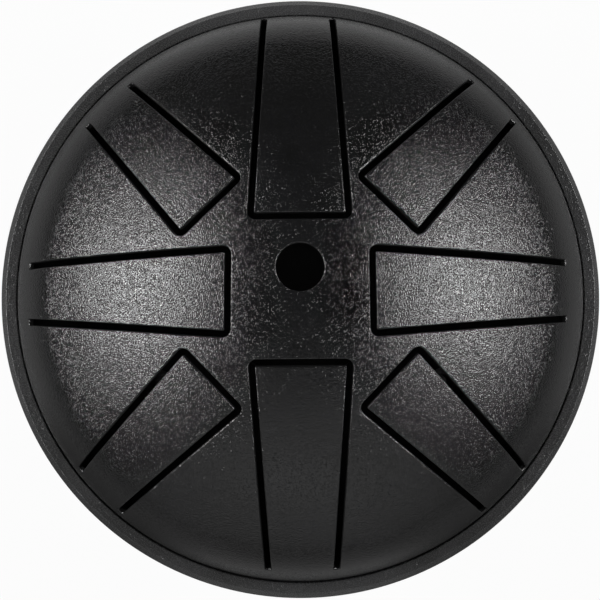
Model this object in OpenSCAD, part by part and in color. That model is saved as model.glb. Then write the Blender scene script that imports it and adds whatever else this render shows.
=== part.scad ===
// Steel tongue drum with eight tongues.
// Two pressed shells meet at flanges that a rolled ring clamps together. The top shell has eight
// tongues cut free on three sides, and the bottom shell has a sound port and three rubber feet.
// The origin is on the surface the drum stands on, under its axis. +Z is up, +Y is the drum's back.

/* [Shells] */
// Diameter over the rim ring
drum_d = 150; // [144:1:160]
// Thickness of the pressed steel sheet
sheet_t = 1.5; // [1.2:0.1:1.8]
// Outside radius of the top shell's broad crown
top_crown_r = 110; // [100:1:125]
// Outside radius of the top shell's shoulder, between its crown and its skirt
top_shoulder_r = 22; // [20:1:25]
// Height of the top shell's straight skirt, between its shoulder and the flange bend
top_skirt_h = 1; // [0.7:0.1:4]
// Outside radius of the bottom shell's flatter crown
base_crown_r = 180; // [160:1:220]
// Outside radius of the bottom shell's shoulder
base_shoulder_r = 24; // [21:1:26]
// Height of the bottom shell's straight skirt
base_skirt_h = 3.4; // [1:0.1:8]
// Outside radius of the bend from the skirt into the flange
bend_r = 0.4; // [0.3:0.1:0.6]
// Width of the flange beyond the skirt
flange_w = 3.4; // [2.6:0.1:3.6]

/* [Rim ring] */
// Sheet thickness of the ring rolled over both flanges
ring_t = 0.9; // [0.7:0.1:1.2]
// Outside radius of the ring's two corners
ring_corner_r = 1.3; // [1:0.1:1.6]
// Gap between the flanges' edge and the inside of the ring
ring_clear = 0.1; // [0.05:0.01:0.3]
// Gap between the ring's lips and the bend of the shells
lip_clear = 0.1; // [0.05:0.05:0.4]

/* [Tongues] */
// Width of the slots round the tongues
slot_w = 1.5; // [1:0.1:2]
// Radius of the tongues' own corners
tongue_corner_r = 0.4; // [0.2:0.1:0.8]
// Gap across each root, where the tongue is hinged to the shell
root_gap = 0.2; // [0.15:0.01:0.3]
// Distance from the axis to the free end of the wide tongues, at the slot's middle
wide_tip_r = 17.6; // [16.5:0.1:20]
// Distance from the axis to the free end of the side tongues
side_tip_r = 17.4; // [16.5:0.1:20]
// Distance from the axis to the free end of the short tongues
short_tip_r = 29.9; // [29:0.1:34]
// Width between slot middles at the free end of the wide tongues
wide_tip_w = 23.7; // [20:0.1:24]
// Width between slot middles at the free end of the side tongues
side_tip_w = 20.5; // [17:0.1:21]
// Width between slot middles at the free end of the short tongues
short_tip_w = 19.7; // [16:0.1:20]
// Width between slot middles at the root of the wide tongues
wide_root_w = 16.9; // [14:0.1:18]
// Width between slot middles at the root of the side tongues
side_root_w = 13.8; // [12:0.1:16]
// Width between slot middles at the root of the short tongues
short_root_w = 14.4; // [12:0.1:16]

/* [Sound holes] */
// Diameter of the round hole in the top shell
hole_d = 11.5; // [8:0.1:13]
// Distance of that hole behind the axis
hole_y = 5.7; // [4:0.1:6.5]
// Diameter of the port under the drum
port_d = 40; // [30:1:50]

/* [Feet] */
// Height of the bottom shell's crown, carried on over the port, above the surface
ground_clear = 4; // [3:0.5:6]
// Distance of the feet in from the skirt, where they meet the shell
foot_inset = 27; // [26:0.5:31]
// Diameter of a foot at the shell
foot_top_d = 18; // [16:0.5:19]
// Diameter of a foot where its axis meets the surface
foot_sole_d = 15; // [13:0.5:16]
// Rubber between the shell and the screw's head
foot_seat_t = 4; // [3.5:0.5:4.5]
// Diameter of the recess for the screw's head
foot_recess_d = 8.8; // [8.4:0.1:9.6]
// Gap between the rubber and the shell
seat_clear = 0.1; // [0.05:0.05:0.3]

/* [Fasteners] */
// Diameter of the screws
screw_d = 4; // [3:0.5:5]
// Length of a screw under its head
screw_l = 12; // [11.5:0.5:14]
// Diameter of a screw's head
screw_head_d = 8; // [7:0.1:8.2]
// Height of a screw's head
screw_head_h = 3; // [2:0.1:3.2]
// Width of the hexagon socket in the head, across its corners
socket_d = 2.9; // [2:0.1:3.2]
// Depth of the socket
socket_h = 1.6; // [1:0.1:1.8]
// Diameter of the clearance holes for the screws
screw_hole_d = 4.4; // [4.2:0.1:6]
// Diameter of a washer
washer_d = 9; // [8:0.1:10]
// Thickness of a washer
washer_t = 0.8; // [0.5:0.1:1.2]
// Width of a nut across its corners
nut_d = 8.08; // [7.5:0.01:8.8]
// Height of a nut
nut_h = 3.2; // [2.4:0.1:3.4]
// Radial gap between a screw and its nut, where the thread would be
thread_clear = 0.05; // [0.03:0.01:0.1]

/* [Hidden] */
$fn = 128;
// Overrun of every cut past the face it goes through
cut = 1;

tongue_count = 8;
foot_count = 3;
hex_sides = 6;
// Straight steps round a slot's corner, and along a shell's bend
corner_steps = 5;
bend_steps = 4;
// How far the shoulder stands proud of the crown and the skirt, so that their arcs cross cleanly
shoulder_proud = 0.01;

// Tongues run clockwise from the back: 0 is a wide one, 1 a short one and 2 a side one
kinds = [0, 1, 2, 1, 0, 1, 2, 1];
tip_rs = [wide_tip_r, short_tip_r, side_tip_r];
tip_ws = [wide_tip_w, short_tip_w, side_tip_w];
root_ws = [wide_root_w, short_root_w, side_root_w];
// Direction from the axis to each free end
tip_angles = [90, 44.1, 0, -44.3, -90, -135.7, 180, 136.2];
// Turn of each tongue's own middle line away from that direction
leans = [0, 1.5, 0.6, 0.7, 0, -0.9, -0.9, -2.7];
// Free end distance of each tongue, as a share of its kind's
tip_shares = [1.025, 1, 1, 1, 0.97, 1, 1, 1];
// Distance of each root from the axis, as a share of the skirt's radius
root_shares = [0.99, 0.96, 0.922, 0.988, 0.951, 0.976, 0.943, 0.944];

// The skirts' outside radius follows from what stands outside it
flange_r = drum_d / 2 - ring_t - ring_clear;
skirt_r = flange_r - flange_w;
foot_r = skirt_r - foot_inset;
bend_x = skirt_r + bend_r;
bend_z = sheet_t + bend_r;
slot_corner_r = slot_w + tongue_corner_r;
ring_half_h = sheet_t + ring_t;
ring_lip_r = bend_x + lip_clear;

// A dish lists its crown radius, its shoulder radius and its skirt height
top_dish = [top_crown_r, top_shoulder_r, top_skirt_h];
base_dish = [base_crown_r, base_shoulder_r, base_skirt_h];
// Middle of a dish's shoulder arc, measured from the flange's face
function shoulder_mid(dish) = [skirt_r - dish[1], bend_z + dish[2]];
// Angle at which its crown meets its shoulder, and the distance of that line from the axis
function crown_angle(dish) = asin(shoulder_mid(dish).x / (dish[0] - dish[1]));
function crown_edge_r(dish) = dish[0] * sin(crown_angle(dish));
// Height of its crown's middle over the flange's face, and of its top
function crown_mid_z(dish) = shoulder_mid(dish).y - (dish[0] - dish[1]) * cos(crown_angle(dish));
function dish_h(dish) = crown_mid_z(dish) + dish[0];
// Slope and height of its outside at a distance r from the axis
function arc_slope(x, radius) = asin(x / radius);
function arc_height(x, radius) = sqrt(pow(radius, 2) - pow(x, 2));
function slope_at(dish, r) =
    r < crown_edge_r(dish) ? arc_slope(r, dish[0]) : arc_slope(r - shoulder_mid(dish).x, dish[1]);
function height_at(dish, r) =
    r < crown_edge_r(dish)
        ? crown_mid_z(dish) + arc_height(r, dish[0])
        : shoulder_mid(dish).y + arc_height(r - shoulder_mid(dish).x, dish[1]);

top_h = dish_h(top_dish);
seam_z = ground_clear + dish_h(base_dish);

// Sizes of tongue i
function tip_r(i) = tip_rs[kinds[i]] * tip_shares[i];
function run(i) = root_shares[i] * skirt_r - tip_r(i);
function heading(i) = tip_angles[i] + leans[i];
function taper(i) = atan((tip_ws[kinds[i]] - root_ws[kinds[i]]) / 2 / run(i));
function tip_point(i) = tip_r(i) * [cos(tip_angles[i]), sin(tip_angles[i])];
function root_point(i) = tip_point(i) + run(i) * [cos(heading(i)), sin(heading(i))];

// Outline round tongue i, in the tongue's own frame: x runs from the free end to the root.
// The slot's middle line is grown outwards by grow, and the corners are rounded by corner_r.
function leg_y(i, x, grow) = tip_ws[kinds[i]] / 2 - x * tan(taper(i)) + grow / cos(taper(i));
function corner(i, grow, corner_r) = [
    for (k = [0 : corner_steps])
        let (
            turn = 180 - (90 + taper(i)) * k / corner_steps,
            mid_x = corner_r - grow,
            mid_y = leg_y(i, mid_x, grow - corner_r)
        )
        [mid_x + corner_r * cos(turn), mid_y + corner_r * sin(turn)]
];
function mirrored(points) = [for (k = [len(points) - 1 : -1 : 0]) [points[k].x, -points[k].y]];
function side(i, grow, corner_r, reach) =
    concat(corner(i, grow, corner_r), [[reach, leg_y(i, reach, grow)]]);
function outline(i, grow, corner_r, reach) =
    concat(side(i, grow, corner_r, reach), mirrored(side(i, grow, corner_r, reach)));

// Points along the bend from flange to skirt, seen in section, at a given radius from its middle
function bend_points(r) = [
    for (k = [0 : bend_steps])
        let (turn = 270 - 90 * k / bend_steps)
        [bend_x + r * cos(turn), bend_z + r * sin(turn)]
];

// Filled outline of a dish's crown and shoulder, drawn in by inset
module filled_dish(dish, inset) {
    mid = shoulder_mid(dish);
    crown_end = mid + 2 * dish[1] * [sin(crown_angle(dish)), cos(crown_angle(dish))];
    intersection() {
        translate([0, crown_mid_z(dish)])
            circle(r = dish[0] - inset);
        polygon([[0, 0], [mid.x, 0], mid, crown_end, [crown_end.x, dish[0]], [0, dish[0]]]);
    }
    intersection() {
        translate(mid)
            circle(r = dish[1] + shoulder_proud - inset);
        square([drum_d, drum_d]);
    }
}

// Section of one pressed shell, from its axis out to the flange's edge
module shell_section(dish) {
    top = shoulder_mid(dish).y;
    difference() {
        union() {
            filled_dish(dish, 0);
            polygon(concat(
                [[0, 0], [flange_r, 0], [flange_r, sheet_t]],
                bend_points(bend_r),
                [[skirt_r, top], [0, top]]
            ));
        }
        filled_dish(dish, sheet_t);
        polygon(concat(
            [[0, -cut], [bend_x, -cut]],
            bend_points(bend_r + sheet_t),
            [[skirt_r - sheet_t, top], [0, top]]
        ));
    }
}

module pressed_shell(dish) {
    rotate_extrude()
        shell_section(dish);
}

// Everything on the free side of tongue i's root, up to past the hinge line by the given length
module free_side(i, past) {
    root = root_point(i);
    slope = slope_at(top_dish, norm(root));
    half = drum_d / 2;
    mid = root - sheet_t / 2 * sin(slope) * [cos(heading(i)), sin(heading(i))];
    translate([mid.x, mid.y, height_at(top_dish, norm(root)) - sheet_t / 2 * cos(slope)])
        rotate([0, slope, heading(i)])
            translate([past - drum_d, -half, -half])
                cube([drum_d, drum_d, drum_d]);
}

// Straight cut through the top shell round tongue i
module tongue_cut(i, grow, corner_r) {
    tip = tip_point(i);
    translate([tip.x, tip.y, 0])
        rotate([0, 0, heading(i)])
            linear_extrude(height = top_h + cut)
                polygon(outline(i, grow, corner_r, run(i) + sheet_t + top_shoulder_r / 2));
}

module tongue_window(i) {
    intersection() {
        tongue_cut(i, slot_w / 2, slot_corner_r);
        free_side(i, root_gap / 2);
    }
}

module top_shell() {
    color("#2c2c2e")
        translate([0, 0, seam_z])
            difference() {
                pressed_shell(top_dish);
                for (i = [0 : tongue_count - 1])
                    tongue_window(i);
                translate([0, hole_y, 0])
                    cylinder(d = hole_d, h = top_h + cut);
            }
}

module tongue(i) {
    color("#343436")
        translate([0, 0, seam_z])
            intersection() {
                pressed_shell(top_dish);
                tongue_cut(i, -slot_w / 2, tongue_corner_r);
                free_side(i, -root_gap / 2);
            }
}

module bottom_shell() {
    color("#242426")
        difference() {
            translate([0, 0, seam_z])
                mirror([0, 0, 1])
                    pressed_shell(base_dish);
            cylinder(d = port_d, h = seam_z);
            for (k = [0 : foot_count - 1])
                at_foot(k)
                    translate([0, 0, -cut])
                        cylinder(d = screw_hole_d, h = sheet_t + 2 * cut);
        }
}

module rim_ring() {
    color("#3c3c3e")
        translate([0, 0, seam_z])
            rotate_extrude()
                difference() {
                    ring_blank();
                    translate([0, -sheet_t])
                        square([flange_r + ring_clear, 2 * sheet_t]);
                }
}

// Section of the ring before its channel is opened, with its two outer corners rounded
module ring_blank() {
    outer_r = drum_d / 2;
    flat_half_h = ring_half_h - ring_corner_r;
    translate([ring_lip_r, -ring_half_h])
        square([outer_r - ring_corner_r - ring_lip_r, 2 * ring_half_h]);
    translate([ring_lip_r, -flat_half_h])
        square([outer_r - ring_lip_r, 2 * flat_half_h]);
    for (side = [-1, 1])
        translate([outer_r - ring_corner_r, side * flat_half_h])
            circle(r = ring_corner_r);
}

// Frame of foot k: its origin is on the bottom shell's outside, and z points into the drum
module at_foot(k) {
    slope = slope_at(base_dish, foot_r);
    rotate([0, 0, 90 - 360 / foot_count * k])
        translate([foot_r, 0, seam_z - height_at(base_dish, foot_r)])
            rotate([0, -slope, 0])
                children();
}

// Distance from the shell's outside to the surface, along a foot's axis
foot_h = (seam_z - height_at(base_dish, foot_r)) / cos(slope_at(base_dish, foot_r));
// Distance from the shell's outside to the washer, which spans a hollow surface
inside_r = base_crown_r - sheet_t;
washer_z = sheet_t + seat_clear + inside_r - sqrt(pow(inside_r, 2) - pow(washer_d / 2, 2));
foot_taper = (foot_top_d - foot_sole_d) / foot_h;

module foot(k) {
    color("#1a1a1a")
        difference() {
            at_foot(k)
                translate([0, 0, -foot_h - foot_top_d / 2])
                    cylinder(
                        d1 = foot_sole_d - foot_taper * foot_top_d / 2,
                        d2 = foot_top_d + foot_taper * cut,
                        h = foot_h + foot_top_d / 2 + cut
                    );
            translate([0, 0, ground_clear + base_crown_r])
                sphere(r = base_crown_r + seat_clear);
            translate([0, 0, -drum_d])
                cylinder(d = drum_d, h = drum_d);
            at_foot(k) {
                translate([0, 0, -foot_h])
                    cylinder(d = screw_hole_d, h = foot_h + cut);
                translate([0, 0, -foot_h - foot_top_d])
                    cylinder(d = foot_recess_d, h = foot_h + foot_top_d - foot_seat_t);
            }
        }
}

module foot_screw(k) {
    color("#b9bcc0")
        at_foot(k)
            translate([0, 0, -foot_seat_t])
                difference() {
                    union() {
                        cylinder(d = screw_d, h = screw_l);
                        translate([0, 0, -screw_head_h])
                            cylinder(d = screw_head_d, h = screw_head_h);
                    }
                    translate([0, 0, -screw_head_h - cut])
                        cylinder(d = socket_d, h = socket_h + cut, $fn = hex_sides);
                }
}

module foot_washer(k) {
    color("#c4c6ca")
        at_foot(k)
            translate([0, 0, washer_z])
                difference() {
                    cylinder(d = washer_d, h = washer_t);
                    translate([0, 0, -cut])
                        cylinder(d = screw_hole_d, h = washer_t + 2 * cut);
                }
}

module foot_nut(k) {
    color("#aeb1b6")
        at_foot(k)
            translate([0, 0, washer_z + washer_t])
                difference() {
                    cylinder(d = nut_d, h = nut_h, $fn = hex_sides);
                    translate([0, 0, -cut])
                        cylinder(d = screw_d + 2 * thread_clear, h = nut_h + 2 * cut);
                }
}

top_shell();
for (i = [0 : tongue_count - 1])
    tongue(i);
rim_ring();
bottom_shell();
for (k = [0 : foot_count - 1]) {
    foot(k);
    foot_screw(k);
    foot_washer(k);
    foot_nut(k);
}
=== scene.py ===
# %% [markdown]
# # A steel tongue drum
# A tongue drum is two pressed steel shells joined at a rim. Eight tongues are cut into the top one,
# each free on three sides, and each rings with its own note. This lesson dresses the drum's frame,
# the solids that carry its sizes, with pieces that look like the real thing.
# Everything is in metres. The surface that the drum stands on is at z = 0, its axis is the z axis,
# and its back is towards +Y.

import math

import bmesh
import bpy
import numpy as np
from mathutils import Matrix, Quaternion, Vector
from mathutils.geometry import delaunay_2d_cdt
from mathutils.kdtree import KDTree


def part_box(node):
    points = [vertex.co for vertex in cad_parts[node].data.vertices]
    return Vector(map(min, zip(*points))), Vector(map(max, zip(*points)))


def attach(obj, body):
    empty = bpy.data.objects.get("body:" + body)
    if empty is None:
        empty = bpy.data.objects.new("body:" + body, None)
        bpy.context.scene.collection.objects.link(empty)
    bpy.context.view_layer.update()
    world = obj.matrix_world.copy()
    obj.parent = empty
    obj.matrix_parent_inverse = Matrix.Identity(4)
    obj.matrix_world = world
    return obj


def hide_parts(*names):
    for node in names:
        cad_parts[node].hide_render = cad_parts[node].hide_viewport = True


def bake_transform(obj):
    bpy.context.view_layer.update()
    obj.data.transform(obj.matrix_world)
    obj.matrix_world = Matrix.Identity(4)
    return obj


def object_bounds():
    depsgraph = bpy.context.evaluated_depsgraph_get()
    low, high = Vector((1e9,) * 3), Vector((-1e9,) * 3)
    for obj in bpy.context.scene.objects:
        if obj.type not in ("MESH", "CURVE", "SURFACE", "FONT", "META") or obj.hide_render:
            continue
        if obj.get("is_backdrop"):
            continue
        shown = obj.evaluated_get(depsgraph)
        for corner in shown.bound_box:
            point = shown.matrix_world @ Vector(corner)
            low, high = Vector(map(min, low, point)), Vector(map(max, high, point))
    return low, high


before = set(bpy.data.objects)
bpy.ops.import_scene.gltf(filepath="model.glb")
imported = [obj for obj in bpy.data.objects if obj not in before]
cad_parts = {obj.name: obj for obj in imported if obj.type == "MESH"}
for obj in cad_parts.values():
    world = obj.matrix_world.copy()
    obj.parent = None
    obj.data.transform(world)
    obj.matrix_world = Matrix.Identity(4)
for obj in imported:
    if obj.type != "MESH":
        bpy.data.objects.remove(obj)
cad_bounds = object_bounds()
print("box in mm:", [[round(1000 * v, 2) for v in corner] for corner in cad_bounds])

# %% [markdown]
# ## The sizes
# The frame tells where the rim ring is, and the rest of the steel follows from it, just as the two
# shells' flanges have to fit inside the ring. Sizes that the frame can't tell, such as the sheet's
# thickness, are written here once, in millimetres, and turned into metres. The tiny length is only
# there so that nothing is divided by zero.

# %% Sizes of the steel
MM = 0.001
TURN = 2 * math.pi
tiny = 1e-9

ring_low, ring_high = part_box("rim_ring")
drum_r = ring_high.x
seam_z = (ring_low.z + ring_high.z) / 2
ring_half_h = (ring_high.z - ring_low.z) / 2

sheet_t = 1.5 * MM
bend_r = 0.4 * MM
flange_w = 3.4 * MM
ring_t = ring_half_h - sheet_t
ring_clear = 0.1 * MM
ring_corner_r = 1.3 * MM
lip_clear = 0.1 * MM
flange_r = drum_r - ring_t - ring_clear
skirt_r = flange_r - flange_w
print(f"drum {2000 * drum_r:.1f} mm across, its seam {1000 * seam_z:.2f} mm above the ground")
print(f"skirt radius {1000 * skirt_r:.1f} mm, flange radius {1000 * flange_r:.1f} mm")

# %% [markdown]
# ## The shape of a pressed dish
# Seen in section, a dish is a broad arc over its middle, a tighter arc over its shoulder, a short
# straight skirt, a small bend and a flat flange. The press starts from a flat round blank, so a
# place on the dish can be named by its distance from the middle along the sheet. That is the idea
# of this lesson: the drum's plan is drawn on the flat blank, where slots are easy to cut, and the
# blank is then pressed over its die.


# %% A dish and its flat blank
class Dish:
    """The outside of one pressed shell, measured from the seam between the two flanges."""

    def __init__(self, crown_r, shoulder_r, skirt_h):
        self.crown_r = crown_r
        self.shoulder_r = shoulder_r
        self.skirt_h = skirt_h
        self.shoulder_x = skirt_r - shoulder_r
        self.shoulder_z = sheet_t + bend_r + skirt_h
        self.crown_angle = math.asin(self.shoulder_x / (crown_r - shoulder_r))
        self.crown_arc = crown_r * self.crown_angle
        self.shoulder_arc = shoulder_r * (math.pi / 2 - self.crown_angle)
        crown_z = self.shoulder_z - (crown_r - shoulder_r) * math.cos(self.crown_angle)
        self.height = crown_z + crown_r

    def slope(self, r):
        """Slope of the surface at a distance r from the axis, in plan."""
        on_crown = np.arcsin(np.clip(r / self.crown_r, 0, 1))
        on_shoulder = np.arcsin(np.clip((r - self.shoulder_x) / self.shoulder_r, 0, 1))
        return np.where(on_crown < self.crown_angle, on_crown, on_shoulder)

    def unroll(self, plan):
        """Points in plan, moved to where they lie on the flat blank."""
        r = np.hypot(plan[:, 0], plan[:, 1])
        slope = self.slope(r)
        on_shoulder = self.crown_arc + self.shoulder_r * (slope - self.crown_angle)
        run = np.where(slope < self.crown_angle, self.crown_r * slope, on_shoulder)
        return plan * (run / np.maximum(r, tiny))[:, None]


top_dish = Dish(crown_r=110 * MM, shoulder_r=22 * MM, skirt_h=1 * MM)
base_dish = Dish(crown_r=180 * MM, shoulder_r=24 * MM, skirt_h=3.4 * MM)
for name, dish in (("top", top_dish), ("bottom", base_dish)):
    blank_r = dish.crown_arc + dish.shoulder_arc
    print(f"{name} dish: {1000 * dish.height:.1f} mm high, flat dome {1000 * blank_r:.1f} mm in radius")

# %% [markdown]
# ## A sheet with real edges
# The steel is 1.5 mm thick and its cut edges are softly rounded, because the powder coat is thick
# and flows round them. That thin rounding matters: it catches the light and draws a fine bright
# line along each slot. A plane with a Solidify modifier would have sharp edges, and a Bevel would
# struggle where dozens of triangles meet a slot. So the blank is built as a closed sheet from the
# start: rows of points follow each edge from the top face round to the bottom face, and the two
# faces are filled with an even web of triangles.

# %% Places inside an outline
def inside(points, outline):
    """Which points lie inside a closed outline: a ray from them crosses it an odd number of times."""
    x, y = points[:, 0], points[:, 1]
    odd = np.zeros(len(points), bool)
    for a, b in zip(outline, np.roll(outline, -1, axis=0)):
        if a[1] != b[1]:
            level = (a[1] > y) != (b[1] > y)
            odd ^= level & (x < a[0] + (b[0] - a[0]) * (y - a[1]) / (b[1] - a[1]))
    return odd


def nearest(points, others):
    """Distance from each point to the nearest of the others."""
    tree = KDTree(len(others))
    for k, other in enumerate(others):
        tree.insert((*other, 0), k)
    tree.balance()
    return np.array([tree.find((*point, 0))[2] for point in points])


def unit(vectors):
    """The same directions, each one long."""
    return vectors / np.maximum(np.linalg.norm(vectors, axis=1), tiny)[:, None]


# %% Closed meshes and their outward directions
def closed_mesh(name, points, faces):
    """A mesh whose faces all look outwards. It prints how many of its edges are open."""
    mesh = bpy.data.meshes.new(name)
    mesh.from_pydata(np.concatenate(points).tolist(), [], faces)
    shape = bmesh.new()
    shape.from_mesh(mesh)
    bmesh.ops.recalc_face_normals(shape, faces=shape.faces)
    open_edges = sum(not edge.is_manifold for edge in shape.edges)
    shape.to_mesh(mesh)
    shape.free()
    print(f"{name}: {len(mesh.vertices)} points, {len(faces)} faces, {open_edges} open edges")
    return mesh


def keep_outwards(mesh, outwards):
    """Stores an outward direction at each point of a mesh."""
    mesh.attributes.new("outward", "FLOAT_VECTOR", "POINT")
    mesh.attributes["outward"].data.foreach_set("vector", outwards.ravel())


# %% The sheet's points and faces
edge_r = 0.4 * MM
edge_steps = 5
inner_depth = 1.01 * edge_r


class Sheet:
    """A flat sheet of steel: x and y lie in the blank, and z runs down into it from 0."""

    def __init__(self):
        self.points = []
        self.outwards = []
        self.faces = []
        self.count = 0

    def row(self, flat, depth, outward):
        """Adds points at one depth, each with the direction that faces out of the steel there."""
        numbers = np.arange(self.count, self.count + len(flat))
        self.points.append(np.column_stack([flat, np.full(len(flat), -depth)]))
        self.outwards.append(np.broadcast_to(outward, (len(flat), 3)))
        self.count += len(flat)
        return numbers

    def two_faced(self, flat):
        """Adds the same points on the top face and on the bottom face."""
        return self.row(flat, 0, (0, 0, 1)), self.row(flat, sheet_t, (0, 0, -1))

    def strip(self, first, second, closed):
        """Joins two rows of points by a strip of four-sided faces."""
        after = np.roll(np.arange(len(first)), -1)
        for k in range(len(first) if closed else len(first) - 1):
            self.faces.append((first[k], first[after[k]], second[after[k]], second[k]))

    def edge(self, line, to_gap, closed):
        """Rounds one cut edge from the top face to the bottom face and returns its rows."""
        rows = []
        for face, order in ((1, range(edge_steps + 1)), (-1, range(edge_steps, -1, -1))):
            for k in order:
                lean = math.pi / 2 * k / edge_steps
                inset = edge_r * (1 - math.sin(lean))
                sunk = edge_r * (1 - math.cos(lean))
                depth = sunk if face > 0 else sheet_t - sunk
                faces_up = np.full(len(line), face * math.cos(lean))
                outward = np.column_stack([to_gap * math.sin(lean), faces_up])
                rows.append(self.row(line - to_gap * inset, depth, outward))
        for first, second in zip(rows, rows[1:]):
            self.strip(first, second, closed)
        return rows

    def seam(self, rows, middle):
        """Closes the open ends of an edge's rows across a root, and returns the seam's numbers."""
        top, bottom = self.two_faced(middle)
        top = np.concatenate([[rows[0][-1]], top, [rows[0][0]]])
        bottom = np.concatenate([[rows[-1][-1]], bottom, [rows[-1][0]]])
        self.strip(top, bottom, False)
        for end in (0, -1):
            self.faces.append(tuple(row[end] for row in rows))
        return top, bottom

    def fill(self, outer, holes, between):
        """Fills both faces between closed loops, each a pair of top and bottom numbers."""
        flat = np.concatenate(self.points)[:, :2]
        loops = [outer] + holes
        rims = np.concatenate([loop[0] for loop in loops])
        on_steel = inside(between, flat[outer[0]])
        for hole in holes:
            on_steel &= ~inside(between, flat[hole[0]])
        between = between[on_steel]
        between = between[nearest(between, flat[rims]) > web_gap_share * web_step]
        between_top, between_bottom = self.two_faced(between)
        top = np.concatenate([rims, between_top])
        bottom = np.concatenate([*[loop[1] for loop in loops], between_bottom])
        places = np.concatenate([flat[rims], between])
        edges, start = [], 0
        for loop in loops:
            n = len(loop[0])
            edges += [(start + k, start + (k + 1) % n) for k in range(n)]
            start += n
        made = delaunay_2d_cdt([Vector(p) for p in places], edges, [], 0, tiny, True)
        made_faces, made_from = made[2], made[3]
        triangles = np.array([[made_from[v][0] for v in face] for face in made_faces])
        centres = places[triangles].mean(axis=1)
        kept = inside(centres, flat[outer[0]])
        for hole in holes:
            kept &= ~inside(centres, flat[hole[0]])
        self.faces += [tuple(top[t]) for t in triangles[kept]]
        self.faces += [tuple(bottom[t[::-1]]) for t in triangles[kept]]

    def mesh(self, name):
        """The finished blank, with each point's outward direction kept as an attribute."""
        faces = [[int(corner) for corner in face] for face in self.faces]
        mesh = closed_mesh("blank of " + name, self.points, faces)
        keep_outwards(mesh, np.concatenate(self.outwards))
        mesh.attributes.new("inner side", "BOOLEAN", "FACE")
        inner = [face.center.z < -inner_depth for face in mesh.polygons]
        mesh.attributes["inner side"].data.foreach_set("value", inner)
        return mesh


# %% An even web of points
web_step = 1.1 * MM
web_gap_share = 0.6
ring_gain = 6


def angles_round(count):
    return np.arange(count) * TURN / count


def circle(r, count, middle=(0, 0)):
    """Points on a circle, and the spokes that point out to them."""
    angles = angles_round(count)
    spokes = np.column_stack([np.cos(angles), np.sin(angles)])
    return np.array(middle) + r * spokes, spokes


def web(rings, step):
    """Rings of points round the middle, six more on each ring, so they lie about evenly."""
    rows = [circle(k * step, ring_gain * k)[0] for k in range(1, rings)]
    return np.concatenate([np.zeros((1, 2)), *rows])


# %% The rim of a blank
bend_steps = 6


def blank_rim(sheet, dish):
    """Adds skirt, bend and flange. Returns the loop where the dome ends and a web for the dome."""
    dome_r = dish.crown_arc + dish.shoulder_arc
    rings = round(dome_r / web_step)
    bend_arc = math.pi / 2 * bend_r
    skirt_end = dome_r + dish.skirt_h
    runs = [dome_r, skirt_end]
    runs += [skirt_end + bend_arc * k / bend_steps for k in range(1, bend_steps + 1)]
    edge_line, spokes = circle(skirt_end + bend_arc + flange_w - bend_r, ring_gain * rings)
    rows = [sheet.two_faced(run * spokes) for run in runs]
    edge_rows = sheet.edge(edge_line, spokes, True)
    rows.append((edge_rows[0], edge_rows[-1]))
    for first, second in zip(rows, rows[1:]):
        sheet.strip(first[0], second[0], True)
        sheet.strip(first[1], second[1], True)
    return rows[0], web(rings, dome_r / rings)


# %% [markdown]
# ## The tongues' slots
# A slot in the shape of a U frees each tongue. Its two legs draw together a little towards the
# root and end bluntly there, its outer corners are round and the tongue's own corners are crisp.
# The slots are 1.5 mm wide. They could be cut with a Boolean modifier, which leaves ragged
# triangles along a curved cut, so they are drawn instead: laid out in plan, as they are seen from
# above, and then unrolled onto the blank. The tongue and the shell are one sheet on the real drum.
# Here they are separate pieces, so that a tongue can bend, and they share the points of a seam
# across the root.

# %% The plan of the eight tongues
slot_w = 1.5 * MM
tongue_corner_r = 0.4 * MM
slot_corner_r = slot_w + tongue_corner_r

wide = {"tip_r": 17.6 * MM, "tip_w": 23.7 * MM, "root_w": 16.9 * MM}
narrow = {"tip_r": 17.4 * MM, "tip_w": 20.5 * MM, "root_w": 13.8 * MM}
short = {"tip_r": 29.9 * MM, "tip_w": 19.7 * MM, "root_w": 14.4 * MM}

# Each tongue's kind, its direction and its lean in degrees, and its shares of tip and root radius
tongue_plan = {
    "tongue_1": (wide, 90, 0, 1.025, 0.99),
    "tongue_2": (short, 44.1, 1.5, 1, 0.96),
    "tongue_3": (narrow, 0, 0.6, 1, 0.922),
    "tongue_4": (short, -44.3, 0.7, 1, 0.988),
    "tongue_5": (wide, -90, 0, 0.97, 0.951),
    "tongue_6": (short, -135.7, -0.9, 1, 0.976),
    "tongue_7": (narrow, 180, -0.9, 1, 0.943),
    "tongue_8": (short, 136.2, -2.7, 1, 0.944),
}
print(len(tongue_plan), "tongues in", slot_w / MM, "mm slots")


# %% Lines on the blank
def spaced(start, end):
    """Points from start to end, about a step of the web apart."""
    count = max(1, math.ceil(np.hypot(*(end - start)) / web_step))
    return start + (end - start) * np.linspace(0, 1, count + 1)[:, None]


def beside(line, side):
    """Unit directions square to an open line: side 1 is to its left and side -1 is to its right."""
    steps = unit(np.diff(line, axis=0))
    along = unit(np.concatenate([steps[:1], steps[:-1] + steps[1:], steps[-1:]]))
    return side * np.column_stack([-along[:, 1], along[:, 0]])


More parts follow.
